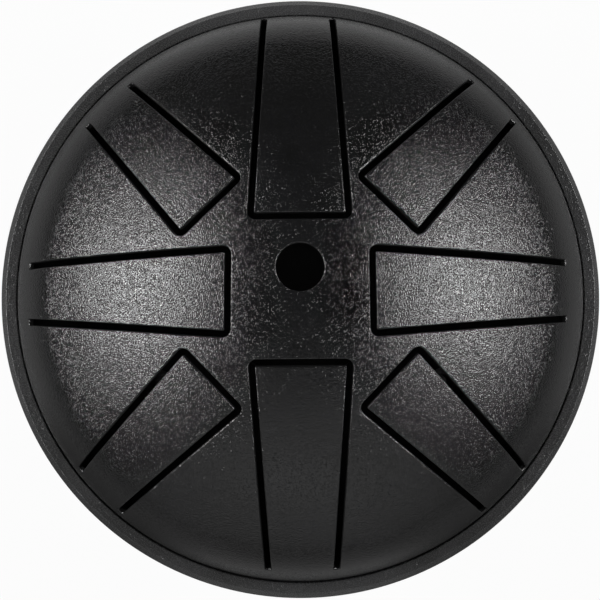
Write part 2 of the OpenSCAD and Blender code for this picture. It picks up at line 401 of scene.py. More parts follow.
# %% One slot
class Slot:
    """The slot round one tongue. In its own frame, x runs from the free end to the root."""

    corner_steps = 6
    cap_steps = 10
    cap_bluntness = 0.4

    def __init__(self, kind, tip_angle, lean, tip_share, root_share):
        tip_r = kind["tip_r"] * tip_share
        self.tip_w = kind["tip_w"]
        self.run = root_share * skirt_r - tip_r
        self.taper = math.atan((kind["tip_w"] - kind["root_w"]) / 2 / self.run)
        tip_angle, heading = math.radians(tip_angle), math.radians(tip_angle + lean)
        self.tip = tip_r * np.array([math.cos(tip_angle), math.sin(tip_angle)])
        self.along = np.array([math.cos(heading), math.sin(heading)])
        self.across = np.array([-self.along[1], self.along[0]])
        self.root = self.tip + self.run * self.along
        self.root_slope = float(top_dish.slope(np.hypot(*self.root)))
        self.seam_x = self.run - slot_w / 2 * math.cos(self.root_slope)

    def on_blank(self, local):
        """Points of the slot's own frame, moved to where they lie on the flat blank."""
        return top_dish.unroll(self.tip + local[:, :1] * self.along + local[:, 1:] * self.across)

    def leg(self, x, grow):
        """Distance at x from the tongue's middle line to a leg of the outline."""
        return self.tip_w / 2 - x * math.tan(self.taper) + grow / math.cos(self.taper)

    def side(self, grow, corner_r):
        """One side of the outline, from the middle of the free end to the seam."""
        turns = math.pi - (math.pi / 2 + self.taper) * np.linspace(0, 1, self.corner_steps + 1)
        middle = np.array([corner_r - grow, self.leg(corner_r - grow, grow - corner_r)])
        corner = middle + corner_r * np.column_stack([np.cos(turns), np.sin(turns)])
        end = np.array([self.seam_x, self.leg(self.seam_x, grow)])
        tip_line = spaced(np.array([-grow, 0.0]), corner[0])
        leg_line = spaced(corner[-1], end)
        return np.concatenate([tip_line[:-1], corner, leg_line[1:]])

    def outline(self, grow, corner_r):
        """The whole outline on the blank, from one side of the root to the other."""
        half = self.side(grow, corner_r)
        return self.on_blank(np.concatenate([half[::-1], half[1:] * (1, -1)]))

    def tongue_line(self):
        """The tongue's side of the slot."""
        return self.outline(-slot_w / 2, tongue_corner_r)

    def shell_line(self):
        """The shell's side of the slot, with a blunt end at each leg."""
        near, far = self.tongue_line(), self.outline(slot_w / 2, slot_corner_r)
        first = self.cap(near[0], far[0], near[0] - near[1])
        last = self.cap(near[-1], far[-1], near[-1] - near[-2])
        return np.concatenate([first[:-1], far, last[::-1][1:]])

    def tongue_gap(self):
        """Directions from the tongue's edge into the slot."""
        return beside(self.tongue_line(), -1)

    def shell_gap(self):
        """Directions from the shell's edge into the slot. At the seam they are the tongue's own."""
        to_gap, near = beside(self.shell_line(), 1), self.tongue_gap()
        to_gap[0], to_gap[-1] = near[0], near[-1]
        return to_gap

    def cap(self, start, end, onwards):
        """A blunt end from start to end that bulges onwards. A bluntness of 1 makes a half circle."""
        middle, arm = (start + end) / 2, (start - end) / 2
        bulge = np.array([-arm[1], arm[0]])
        bulge = bulge * np.sign(bulge @ onwards)
        turns = np.linspace(0, math.pi, self.cap_steps + 1)[:, None]
        across = np.sign(np.cos(turns)) * abs(np.cos(turns)) ** self.cap_bluntness
        return middle + arm * across + bulge * np.sin(turns) ** self.cap_bluntness

    def seam(self):
        """Points across the root, between the two sides of the tongue."""
        reach = self.leg(self.seam_x, -slot_w / 2)
        count = max(2, round(2 * reach / web_step))
        y = np.linspace(-reach, reach, count + 1)[1:-1]
        return self.on_blank(np.column_stack([np.full(len(y), self.seam_x), y]))


# %% The eight slots
slots = {name: Slot(*plan) for name, plan in tongue_plan.items()}
for name, slot in slots.items():
    slope = math.degrees(slot.root_slope)
    print(f"{name}: {1000 * slot.run:.1f} mm long, its root slopes {slope:.0f} degrees")

# %% [markdown]
# ## Node trees written as sums
# The press that shapes the shells, the sweep that makes the ring, the stand for the feet and every
# finish are node trees. A line of code for each Math node would be hard to read, so one small class
# wraps a socket and lets Python's own operators add the nodes. Any other node comes from a single
# method, which takes its type, its settings and what goes into it.


# %% A socket with operators
class Field:
    """An output of a node. A sum, product or comparison with it adds one Math node."""

    def __init__(self, graph, node, socket):
        self.graph = graph
        self.node = node
        self.socket = socket

    def out(self, name):
        return Field(self.graph, self.node, self.node.outputs[name])

    def math(self, operation, *others):
        values = dict(enumerate([self, *others]))
        return self.graph.node("ShaderNodeMath", {"operation": operation}, values)

    def reflected(self, operation, other):
        return self.graph.node("ShaderNodeMath", {"operation": operation}, {0: other, 1: self})

    def __add__(self, other):
        return self.math("ADD", other)

    def __radd__(self, other):
        return self.reflected("ADD", other)

    def __sub__(self, other):
        return self.math("SUBTRACT", other)

    def __rsub__(self, other):
        return self.reflected("SUBTRACT", other)

    def __mul__(self, other):
        return self.math("MULTIPLY", other)

    def __rmul__(self, other):
        return self.reflected("MULTIPLY", other)

    def __truediv__(self, other):
        return self.math("DIVIDE", other)

    def between(self, low, high):
        return self.math("MAXIMUM", low).math("MINIMUM", high)

    def sin(self):
        return self.math("SINE")

    def cos(self):
        return self.math("COSINE")


class Graph:
    """Adds nodes to one tree, in rows that can be read from left to right."""

    nodes_a_row = 12
    column_w = 200
    row_h = 300

    def __init__(self, tree):
        self.tree = tree

    def node(self, kind, settings=None, sockets=None):
        row, column = divmod(len(self.tree.nodes), self.nodes_a_row)
        node = self.tree.nodes.new(kind)
        node.location = (self.column_w * column, -self.row_h * row)
        for name, value in (settings or {}).items():
            setattr(node, name, value)
        for name, value in (sockets or {}).items():
            self.feed(node.inputs[name], value)
        return Field(self, node, node.outputs[0] if node.outputs else None)

    def split(self, vector):
        """The x, y and z of a vector."""
        parts = self.node("ShaderNodeSeparateXYZ", {}, {0: vector})
        return [parts.out(axis) for axis in "XYZ"]

    def joined(self, x, y, z):
        """The vector with this x, y and z."""
        return self.node("ShaderNodeCombineXYZ", {}, {"X": x, "Y": y, "Z": z})

    def feed(self, socket, value):
        if isinstance(value, Field):
            self.tree.links.new(value.socket, socket)
        else:
            socket.default_value = value


def off_axis(x, y):
    """How far a place with this x and y is from the drum's axis."""
    return (x * x + y * y).math("SQRT")


# %% Geometry trees with named inputs
def geometry_tree(name, inputs):
    """A new tree with a geometry and the named inputs going in. Returns its graph and its inputs."""
    tree = bpy.data.node_groups.new(name, "GeometryNodeTree")
    tree.interface.new_socket("Geometry", in_out="OUTPUT", socket_type="NodeSocketGeometry")
    inputs = {"Geometry": "Geometry", **inputs, "Material": "Material"}
    for label, kind in inputs.items():
        tree.interface.new_socket(label, in_out="INPUT", socket_type="NodeSocket" + kind)
    graph = Graph(tree)
    entry = graph.node("NodeGroupInput")
    return graph, {label: entry.out(label) for label in inputs}


def end_tree(graph, geometry, *finishes):
    """Ends a tree with plain geometry. Each finish is a material and the faces that it goes on."""
    geometry = graph.node("GeometryNodeRealizeInstances", {}, {0: geometry})
    for material, faces in finishes:
        sockets = {"Geometry": geometry, "Material": material, "Selection": faces}
        geometry = graph.node("GeometryNodeSetMaterial", {}, sockets)
    graph.node("NodeGroupOutput", {}, {0: geometry})
    print(graph.tree.name, "has", len(graph.tree.nodes), "nodes")


def run_tree(graph, mesh, values):
    """Runs a tree on a mesh with its inputs set, and returns the result as a plain mesh."""
    carrier = bpy.data.objects.new("carrier", mesh)
    bpy.context.scene.collection.objects.link(carrier)
    modifier = carrier.modifiers.new("tree", "NODES")
    modifier.node_group = graph.tree
    for item in graph.tree.interface.items_tree:
        if item.in_out == "INPUT" and item.name in values:
            modifier[item.identifier] = values[item.name]
    depsgraph = bpy.context.evaluated_depsgraph_get()
    result = bpy.data.meshes.new_from_object(carrier.evaluated_get(depsgraph), depsgraph=depsgraph)
    bpy.data.objects.remove(carrier)
    bpy.data.meshes.remove(mesh)
    return result


# %% What a mesh carries with it
def carried(graph, name, kind):
    """What the mesh carries under this name."""
    return graph.node("GeometryNodeInputNamedAttribute", {"data_type": kind}, {"Name": name})


def carry_outwards(graph, geometry, outwards):
    """The geometry with new outward directions at its points."""
    settings = {"data_type": "FLOAT_VECTOR", "domain": "POINT"}
    sockets = {"Geometry": geometry, "Name": "outward", "Value": outwards}
    return graph.node("GeometryNodeStoreNamedAttribute", settings, sockets)


# %% [markdown]
# ## The press
# The press takes a place on the blank by its distance from the middle and lays it on the dish. The
# way leads down the crown's arc, round the shoulder's, straight down the skirt, round the bend and
# out along the flange. What lies under the blank's top face goes square into the steel. The tree
# does this for every point at once, and it turns the stored outward directions with the steel, so
# the shading has no need to guess them from triangles.

# %% The press as a geometry tree
die_inputs = ["Crown radius", "Crown arc", "Shoulder radius", "Shoulder arc", "Skirt height"]
die_inputs += ["Bend radius", "Dish height", "Seam height", "Way up"]
die_kinds = {label: "Float" for label in die_inputs}
press, given = geometry_tree("press over a die", {**die_kinds, "Inner material": "Material"})

blank_x, blank_y, over_face = press.split(press.node("GeometryNodeInputPosition"))
run = off_axis(blank_x, blank_y)
spoke_x = blank_x / run.math("MAXIMUM", tiny)
spoke_y = blank_y / run.math("MAXIMUM", tiny)

crown = run.math("MINIMUM", given["Crown arc"]) / given["Crown radius"]
past_crown = run - given["Crown arc"]
lean = crown + past_crown.between(0, given["Shoulder arc"]) / given["Shoulder radius"]
past_dome = past_crown - given["Shoulder arc"]
on_skirt = past_dome.between(0, given["Skirt height"])
bend_length = given["Bend radius"] * (math.pi / 2)
past_skirt = past_dome - given["Skirt height"]
bend = past_skirt.between(0, bend_length) / given["Bend radius"]
on_flange = (past_skirt - bend_length).math("MAXIMUM", 0)

surface_r = given["Crown radius"] * crown.sin()
surface_r = surface_r + given["Shoulder radius"] * (lean.sin() - crown.sin())
surface_r = surface_r + given["Bend radius"] * (1 - bend.cos()) + on_flange
drop = given["Crown radius"] * (1 - crown.cos())
drop = drop + given["Shoulder radius"] * (crown.cos() - lean.cos())
drop = drop + on_skirt + given["Bend radius"] * bend.sin()

tilt = lean - bend
pressed_r = surface_r + over_face * tilt.sin()
pressed_z = given["Dish height"] - drop + over_face * tilt.cos()
pressed_z = given["Seam height"] + given["Way up"] * pressed_z
pressed = press.joined(pressed_r * spoke_x, pressed_r * spoke_y, pressed_z)

flat_x, flat_y, flat_z = press.split(carried(press, "outward", "FLOAT_VECTOR"))
out_along = flat_x * spoke_x + flat_y * spoke_y
out_round = flat_y * spoke_x - flat_x * spoke_y
out_r = out_along * tilt.cos() + flat_z * tilt.sin()
out_x = out_r * spoke_x - out_round * spoke_y
out_y = out_r * spoke_y + out_round * spoke_x
out_z = given["Way up"] * (flat_z * tilt.cos() - out_along * tilt.sin())

with_out = carry_outwards(press, given["Geometry"], press.joined(out_x, out_y, out_z))
moved = press.node("GeometryNodeSetPosition", {}, {"Geometry": with_out, "Position": pressed})
upside_down = given["Way up"].math("LESS_THAN", 0)
turned = press.node("GeometryNodeFlipFaces", {}, {"Mesh": moved, "Selection": upside_down})
inner = carried(press, "inner side", "BOOLEAN")
end_tree(press, turned, (given["Material"], True), (given["Inner material"], inner))

# %% [markdown]
# ## From mesh to piece
# A finished piece is a plain object at the origin, with its place in its mesh. A pressed or swept
# piece also has to be shaded smoothly across its slots' edges. Blender would guess each point's
# normal from the triangles that meet there, and the long thin ones beside a slot would pull it
# askew and leave streaks. The direction that each point carried through the press is exact, so it
# is set as the point's own normal.


# %% Put a finished mesh in the scene
def new_piece(name, mesh):
    """Puts a mesh in the scene at the origin, under its own name."""
    mesh.name = name
    piece = bpy.data.objects.new(name, mesh)
    bpy.context.scene.collection.objects.link(piece)
    return piece


def shaded_piece(name, mesh):
    """A piece whose shading follows the outward direction that each of its points carries."""
    outwards = np.empty(3 * len(mesh.vertices), np.float32)
    mesh.attributes["outward"].data.foreach_get("vector", outwards)
    for label in ("outward", "inner side"):
        if label in mesh.attributes:
            mesh.attributes.remove(mesh.attributes[label])
    mesh.shade_smooth()
    mesh.normals_split_custom_set_from_vertices(unit(outwards.reshape(-1, 3)).tolist())
    return new_piece(name, mesh)


# %% [markdown]
# ## Powder coat
# The drum is powder coated: a dry black paint is sprayed on, baked, and melts into a tough skin
# with the grain of fine sand. Each little hump tilts the skin its own way, so under a lamp some
# humps flash and their neighbours stay dark. That sparkle is what the eye reads as powder coat.
# A speckled colour would look the same under every lamp, so the grain is a bump instead, at its
# real size of about a quarter of a millimetre, under a fairly even gloss. One layer of noise does
# it: finer noise on top would only tilt the skin within a single hump and blur the sparkle away.
# A second, broader noise makes some humps steeper than the rest, and they give the few bright
# specks in the dark parts. The colour and the gloss drift slowly over the steel too, because no
# hand-sprayed coat is even.


# %% A finish and its shader
def new_finish(name):
    """An empty finish: the material, its graph, and the place on the piece that its patterns read."""
    material = bpy.data.materials.new(name)
    material.use_nodes = True
    material.node_tree.nodes.clear()
    graph = Graph(material.node_tree)
    return material, graph, graph.node("ShaderNodeTexCoord").out("Object")


def end_finish(material, graph, sockets):
    """Ends a finish with the shader that all of them share, fed by these sockets."""
    shader = graph.node("ShaderNodeBsdfPrincipled", {}, sockets)
    graph.node("ShaderNodeOutputMaterial", {}, {"Surface": shader})
    print(material.name, "has", len(graph.tree.nodes), "nodes")
    return material


# %% Patterns
noise_middle = 0.5


def noise(graph, place, size, detail, roughness=0.5):
    """Soft noise whose blobs are about this size."""
    sockets = {"Vector": place, "Scale": 1 / size, "Detail": detail, "Roughness": roughness}
    return graph.node("ShaderNodeTexNoise", {}, sockets).out("Fac")


def cells(graph, place, size):
    """Cells about this size, each with a colour of its own."""
    sockets = {"Vector": place, "Scale": 1 / size}
    return graph.node("ShaderNodeTexVoronoi", {"feature": "F1"}, sockets).out("Color")


def ramp(amount, low, high):
    """0 below low and 1 above high, with a smooth climb between them."""
    sockets = {"Value": amount, "From Min": low, "From Max": high}
    return amount.graph.node("ShaderNodeMapRange", {"interpolation_type": "SMOOTHSTEP"}, sockets)


def blend_colour(graph, amount, low, high):
    """One colour where the amount is 0, another where it is 1."""
    settings = {"data_type": "RGBA", "clamp_factor": True}
    mix = graph.node("ShaderNodeMix", settings)
    named = {(socket.name, socket.type): socket for socket in mix.node.inputs}
    graph.feed(named["Factor", "VALUE"], amount)
    graph.feed(named["A", "RGBA"], (*low, 1))
    graph.feed(named["B", "RGBA"], (*high, 1))
    return Field(graph, mix.node, next(s for s in mix.node.outputs if s.type == "RGBA"))


def bump(graph, height, distance):
    return graph.node("ShaderNodeBump", {}, {"Height": height, "Distance": distance})


# %% The powder coat
swell_grains = 3
swell_h_share = 0.1
drift_size = 22 * MM
gloss_drift = 0.06


def powder_coat(name, grain, hump_h, unevenness, paint, drift, gloss, valley_dull):
    """Baked powder with humps of this size and height. An uneven coat has a few steep humps."""
    material, graph, place = new_finish(name)
    humps = noise(graph, place, grain, detail=0)
    swell = noise(graph, place, swell_grains * grain, detail=1) - noise_middle
    slow = noise(graph, place, drift_size, detail=3, roughness=0.6) - noise_middle
    valleys = 1 - ramp(humps, low=0.4, high=0.6)
    height = humps * (1 + unevenness * swell) + swell_h_share * swell
    return end_finish(material, graph, {
        "Base Color": blend_colour(graph, ramp(slow, low=-0.15, high=0.15), paint, drift),
        "Roughness": gloss + valley_dull * valleys + gloss_drift * slow,
        "Specular IOR Level": 1,
        "Normal": bump(graph, height, hump_h),
    })


shell_coat = powder_coat(
    "powder coat", grain=0.25 * MM, hump_h=0.1 * MM, unevenness=0.55,
    paint=(0.0052, 0.0052, 0.0052), drift=(0.007, 0.007, 0.0075), gloss=0.15, valley_dull=0.03,
)
# The ring wears the same black coat as the shells. Its paint is about six times paler as painted light,
# which lifts the ring, whose flat top mirrors only the dark ceiling.
ring_coat_painted_paler = powder_coat(
    "ring powder coat", grain=0.28 * MM, hump_h=0.075 * MM, unevenness=1.8,
    paint=(0.034, 0.034, 0.034), drift=(0.044, 0.044, 0.045), gloss=0.24, valley_dull=0.05,
)

# %% [markdown]
# ## The inner side and the rubber
# The gun can't reach the inside of a shell well. There, and on the walls of the slots, the powder
# lies thin and dull, with no skin to shine, so the slots look black from every side. The feet are
# moulded rubber: dull and dark too, and a little chalky where dust clings to it. One colour alone
# would make both look like plastic, so soft patches change their colour and dullness together.
# The two differ only in their sizes and tones, so one function makes them.


# %% Dull finishes
def dull_finish(name, patch_size, patch_break, patch_low, patch_high, grain, grain_h,
                clean, dusty, dust_share, dull, duller, shine):
    """A dull skin with soft patches of dust or thin powder, and a fine grain."""
    material, graph, place = new_finish(name)
    patches = noise(graph, place, patch_size, detail=4, roughness=patch_break)
    patches = ramp(patches, patch_low, patch_high)
    fine = noise(graph, place, grain, detail=3, roughness=0.6)
    return end_finish(material, graph, {
        "Base Color": blend_colour(graph, dust_share * patches, clean, dusty),
        "Roughness": dull + duller * patches,
        "Specular IOR Level": shine,
        "Normal": bump(graph, fine, grain_h),
    })


inner_coat = dull_finish(
    "thin coat", patch_size=9 * MM, patch_break=0.6, patch_low=0.35, patch_high=0.65,
    grain=0.3 * MM, grain_h=0.03 * MM,
    clean=(0.003, 0.003, 0.003), dusty=(0.006, 0.006, 0.0065), dust_share=1,
    dull=0.8, duller=0.15, shine=0.25,
)
rubber = dull_finish(
    "moulded rubber", patch_size=4 * MM, patch_break=0.65, patch_low=0.5, patch_high=0.75,
    grain=0.25 * MM, grain_h=0.02 * MM,
    clean=(0.016, 0.016, 0.017), dusty=(0.034, 0.033, 0.032), dust_share=0.6,
    dull=0.62, duller=0.16, shine=0.5,
)

# %% [markdown]
# ## Black zinc
# The screws, washers and nuts are steel with a black zinc plate. It is metal, so it is dark and
# yet has a gloss, it is faintly clouded, and its crystals and the fine marks of the barrel that it
# was plated in break the gloss up. Bright zinc would glint through the slots.

# %% Zinc plate
cloud_size = 1.8 * MM
flake_size = 0.35 * MM
mark_size = 0.12 * MM
mark_h = 0.006 * MM
zinc_dark = (0.085, 0.085, 0.095)
zinc_pale = (0.13, 0.125, 0.12)
zinc_metal = 0.96
zinc_gloss = 0.26
cloud_dull = 0.16
flake_dull = 0.08


def zinc_finish():
    material, graph, place = new_finish("zinc plate")
    cloud = noise(graph, place, cloud_size, detail=4, roughness=0.6)
    marks = noise(graph, place, mark_size, detail=2, roughness=0.7)
    flakes = cells(graph, place, flake_size)
    flake = graph.node("ShaderNodeSeparateColor", {}, {0: flakes}).out("Red")
    clouded = ramp(cloud, low=0.3, high=0.7)
    return end_finish(material, graph, {
        "Base Color": blend_colour(graph, clouded, zinc_dark, zinc_pale),
        "Metallic": zinc_metal + (1 - zinc_metal) * flake,
        "Roughness": zinc_gloss + cloud_dull * cloud + flake_dull * flake,
        "Normal": bump(graph, marks, mark_h),
    })


zinc = zinc_finish()

# %% [markdown]
# ## The top shell
# The top shell is one blank with a round sound hole behind its middle and eight slots. Each slot
# is a hole in the blank whose outline runs round the outside of the slot and back across the
# tongue's root, because the tongue itself is a piece of its own. All holes are there before the
# press, so their edges bend with the steel and stay square to it.

# %% A blank with its round holes
edge_points_a_step = 3
least_edge_points = 32


def round_hole(sheet, r, middle):
    """Cuts a round hole in a blank and returns its loops on the two faces."""
    count = max(least_edge_points, round(edge_points_a_step * TURN * r / web_step))
    line, spokes = circle(r, count, middle)
    rows = sheet.edge(line, -spokes, True)
    return rows[0], rows[-1]


def pressed_piece(name, sheet, dish, way_up):
    """Presses a blank over its die. A way up of -1 turns it over, hanging from the seam."""
    return shaded_piece(name, run_tree(press, sheet.mesh(name), {
        "Crown radius": dish.crown_r,
        "Crown arc": dish.crown_arc,
        "Shoulder radius": dish.shoulder_r,
        "Shoulder arc": dish.shoulder_arc,
        "Skirt height": dish.skirt_h,
        "Bend radius": bend_r,
        "Dish height": dish.height,
        "Seam height": seam_z,
        "Way up": float(way_up),
        "Material": shell_coat,
        "Inner material": inner_coat,
    }))


# %% Cut and press the top shell
hole_d = 11.5 * MM
hole_y = 5.7 * MM


def slot_hole(sheet, slot):
    """Cuts a slot in the shell's blank. Its loop comes back across the root along the seam."""
    rows = sheet.edge(slot.shell_line(), slot.shell_gap(), False)
    seam_top, seam_bottom = sheet.seam(rows, slot.seam())
    top = np.concatenate([rows[0], seam_top[1:-1]])
    bottom = np.concatenate([rows[-1], seam_bottom[1:-1]])
    return top, bottom


top_blank = Sheet()
top_rim, top_web = blank_rim(top_blank, top_dish)
top_holes = [round_hole(top_blank, hole_d / 2, top_dish.unroll(np.array([[0, hole_y]]))[0])]
top_holes += [slot_hole(top_blank, slot) for slot in slots.values()]
top_blank.fill(top_rim, top_holes, top_web)
top_shell = pressed_piece("top_shell_steel", top_blank, top_dish, 1)

# %% [markdown]
# ## The tongues
# A tongue is the piece of sheet that its slot leaves free. A strip that is modelled on its own and
# bent to fit would stand off the dome somewhere. So each tongue is cut from a small blank and
# pressed over the same die as the shell. It lies in the shell's curve without being placed there,
# and the points of its root are the shell's own.

# %% Cut and press the tongues
tongues = {}
for name, slot in slots.items():
    blank = Sheet()
    rows = blank.edge(slot.tongue_line(), slot.tongue_gap(), False)
    seam_top, seam_bottom = blank.seam(rows, slot.seam())
    rim = (np.concatenate([rows[0], seam_top[1:-1]]), np.concatenate([rows[-1], seam_bottom[1:-1]]))
    blank.fill(rim, [], top_web)
    tongues[name] = pressed_piece(name + "_steel", blank, top_dish, 1)

# %% [markdown]
# ## The bottom shell
# The bottom shell is a shallower dish, pressed the other way up. A round port in its middle lets
# the drum breathe, and three small holes take the screws of the feet. It could be a copy of the
# top shell, but the same press with other sizes makes it, which shows what a tree is good for.

# %% Cut and press the bottom shell
port_d = 40 * MM
foot_inset = 27 * MM
screw_hole_d = 4.4 * MM
foot_count = 3
foot_r = skirt_r - foot_inset
foot_turns = [math.pi / 2 - TURN * k / foot_count for k in range(foot_count)]
foot_slope = math.asin(foot_r / base_dish.crown_r)

base_blank = Sheet()
base_rim, base_web = blank_rim(base_blank, base_dish)
base_holes = [round_hole(base_blank, port_d / 2, (0, 0))]
foot_run = base_dish.crown_r * foot_slope
for turn in foot_turns:
    middle = foot_run * np.array([math.cos(turn), math.sin(turn)])
    base_holes.append(round_hole(base_blank, screw_hole_d / 2, middle))
base_blank.fill(base_rim, base_holes, base_web)
bottom_shell = pressed_piece("bottom_shell_steel", base_blank, base_dish, -1)

# %% [markdown]
# ## The rim ring
# A steel ring is rolled over both flanges and holds the shells together. In section it is a C
# whose outer side slants away above and below, which shows as a pale line from above. A torus or a
# bevelled cylinder would miss the slants and the channel inside. The section is the same all the
# way round, so one outline swept round a circle makes it. The tree takes the outline as edges, and
# a Curve to Mesh node does the sweep.

# %% An outline with rounded corners
ring_corner_steps = 8


def rounded(corners, steps):
    """A closed outline through corners of (x, y, radius), counter-clockwise, and its outward side."""
    places = np.array([corner[:2] for corner in corners], float)
    points, outwards = [], []
    for k, (place, (_, _, radius)) in enumerate(zip(places, corners)):
        into = unit((place - places[k - 1])[None])[0]
        away = unit((places[(k + 1) % len(places)] - place)[None])[0]
        turn = math.atan2(into[0] * away[1] - into[1] * away[0], into @ away)
        side = math.copysign(1, turn)
        start = place - into * radius * math.tan(abs(turn) / 2)
        middle = start + side * radius * np.array([-into[1], into[0]])
        for step in range(steps + 1):
            lean = math.atan2(-side * into[0], side * into[1]) + turn * step / steps
            arm = np.array([math.cos(lean), math.sin(lean)])
            points.append(middle + radius * arm)
            outwards.append(side * arm)
    return np.array(points), np.array(outwards)


# %% The sweep as a geometry tree
sweep, given = geometry_tree("sweep round the drum", {
    "Radius": "Float",
    "Steps round": "Int",
    "Height": "Float",
})
path_sockets = {"Radius": given["Radius"], "Resolution": given["Steps round"]}
path = sweep.node("GeometryNodeCurvePrimitiveCircle", {}, path_sockets)
section = sweep.node("GeometryNodeMeshToCurve", {}, {0: given["Geometry"]})
band = sweep.node("GeometryNodeCurveToMesh", {}, {"Curve": path, "Profile Curve": section})
section_r, _, section_z = sweep.split(carried(sweep, "outward", "FLOAT_VECTOR"))
band_x, band_y, _ = sweep.split(sweep.node("GeometryNodeInputPosition"))
band_r = off_axis(band_x, band_y)
band_out = sweep.joined(section_r * band_x / band_r, section_r * band_y / band_r, section_z)
band = carry_outwards(sweep, band, band_out)
lift = sweep.joined(0, 0, given["Height"])
band = sweep.node("GeometryNodeSetPosition", {}, {0: band, "Offset": lift})
end_tree(sweep, sweep.node("GeometryNodeFlipFaces", {}, {0: band}), (given["Material"], True))

# %% The ring's section
ring_steps = 288
ring_lip_r = skirt_r + bend_r + lip_clear
ring_edge_r = 0.25 * MM
ring_turn_r = 0.2 * MM
ring_slant_h = 2 * MM
ring_slant_z = ring_half_h - ring_slant_h
channel_r = flange_r + ring_clear
ring_corners = [
    (ring_lip_r, -ring_half_h, ring_edge_r),
    (drum_r - ring_corner_r, -ring_half_h, ring_turn_r),
    (drum_r, -ring_slant_z, ring_turn_r),
    (drum_r, ring_slant_z, ring_turn_r),
    (drum_r - ring_corner_r, ring_half_h, ring_turn_r),
    (ring_lip_r, ring_half_h, ring_edge_r),
    (ring_lip_r, sheet_t, ring_edge_r),
    (channel_r, sheet_t, ring_edge_r),
    (channel_r, -sheet_t, ring_edge_r),
    (ring_lip_r, -sheet_t, ring_edge_r),
]
section_points, section_outwards = rounded(ring_corners, ring_corner_steps)
print("the ring's section has", len(section_points), "points")


# %% Sweep the ring
def section_mesh(points, outwards):
    """A closed outline as edges, laid out for the sweep: x runs from the path outwards and y down."""
    mesh = bpy.data.meshes.new("section")
    count = len(points)
    flat = np.column_stack([points[:, 0] - drum_r, -points[:, 1], np.zeros(count)])
    mesh.from_pydata(flat.tolist(), [(k, (k + 1) % count) for k in range(count)], [])
    keep_outwards(mesh, np.column_stack([outwards[:, 0], np.zeros(count), outwards[:, 1]]))
    return mesh


ring_mesh = run_tree(sweep, section_mesh(section_points, section_outwards), {
    "Radius": drum_r,
    "Steps round": ring_steps,
    "Height": seam_z,
    "Material": ring_coat_painted_paler,
})
rim_ring = shaded_piece("rim_ring_steel", ring_mesh)
print(f"the ring has {len(rim_ring.data.polygons)} faces")

# %% [markdown]
# ## Turned pieces
# Feet, screws, washers and nuts are all rings of points stacked on one axis, so one small lathe
# makes them. What makes it more than a lathe is that a ring's radius and height may change on the
# way round: that gives a nut its six flats, a screw its thread and a foot its slanting sole.
# The drum has three feet, so each piece is made once, and a geometry tree stands it on the dish.

# %% A lathe whose rings may vary
sharp_angle = math.radians(35)


def stacked(name, rings, count, loop):
    """Joins rings of (radius, height) into a closed mesh. Without a loop, its two ends are closed."""
    angles = angles_round(count)
    points, faces = [], []
    for radius, height in rings:
        radius, height = np.broadcast_to(radius, count), np.broadcast_to(height, count)
        points.append(np.column_stack([radius * np.cos(angles), radius * np.sin(angles), height]))
    pairs = list(zip(range(len(rings)), range(1, len(rings))))
    if loop:
        pairs.append((len(rings) - 1, 0))
    for low, high in pairs:
        for k in range(count):
            after = (k + 1) % count
            upper = (high * count + after, high * count + k)
            faces.append((low * count + k, low * count + after, *upper))
    if not loop:
        faces.append(tuple(range(count)))
        faces.append(tuple(range((len(rings) - 1) * count, len(rings) * count)))
    mesh = closed_mesh("one " + name, points, faces)
    mesh.shade_smooth()
    mesh.set_sharp_from_angle(angle=sharp_angle)
    return mesh


# %% Round edges and flats
hexagon_side_turn = TURN / 6


def quarter(steps=4):
    """The sines and cosines of a quarter turn, for rounding an edge."""
    lean = np.linspace(0, math.pi / 2, steps + 1)
    return list(zip(np.sin(lean), np.cos(lean)))


def across_flats(across_corners):
    """Width of a hexagon from flat to flat."""
    return across_corners * math.cos(hexagon_side_turn / 2)


def hexagon(across_corners, count):
    """Radius of a hexagon on its way round."""
    half_side = hexagon_side_turn / 2
    off_middle = (angles_round(count) + half_side) % hexagon_side_turn - half_side
    return across_flats(across_corners) / 2 / np.cos(off_middle)


# %% [markdown]
# ## The feet
# A foot is a rubber bumper. Its top is hollowed to the dish that it sits against, its sole is cut
# level with the ground although the dish slopes there, and a recess in the sole hides the screw's
# head. A cone pushed into the dish would look right, but its top would stick through the steel, so
# the rings' heights follow the dish and the ground. The foot's own axis is square to the dish,
# with z = 0 on the dish's outside.

# %% Where a foot sits
ground_clear = seam_z - base_dish.height
foot_z = ground_clear + base_dish.crown_r - math.sqrt(base_dish.crown_r**2 - foot_r**2)
foot_h = foot_z / math.cos(foot_slope)
print(f"feet {1000 * foot_r:.0f} mm out, where the dish slopes {math.degrees(foot_slope):.1f} degrees")

# %% One foot
foot_top_d = 18 * MM
foot_sole_d = 15 * MM
foot_seat_t = 4 * MM
foot_recess_d = 8.8 * MM
foot_edge_r = 0.7 * MM
seat_clear = 0.1 * MM
foot_steps = 72
hollow_rings = 6
waist_shares = np.linspace(0.15, 0.85, 5)

foot_angles = angles_round(foot_steps)
foot_taper = (foot_top_d - foot_sole_d) / 2 / foot_h


def dish_gap(r):
    """Height of a foot's hollow top at a distance r from the foot's axis."""
    return base_dish.crown_r - math.sqrt((base_dish.crown_r + seat_clear)**2 - r**2)


def sole(r):
    """Height of the level ground below the foot's axis, on the way round."""
    return -foot_h - r * np.cos(foot_angles) * math.tan(foot_slope)


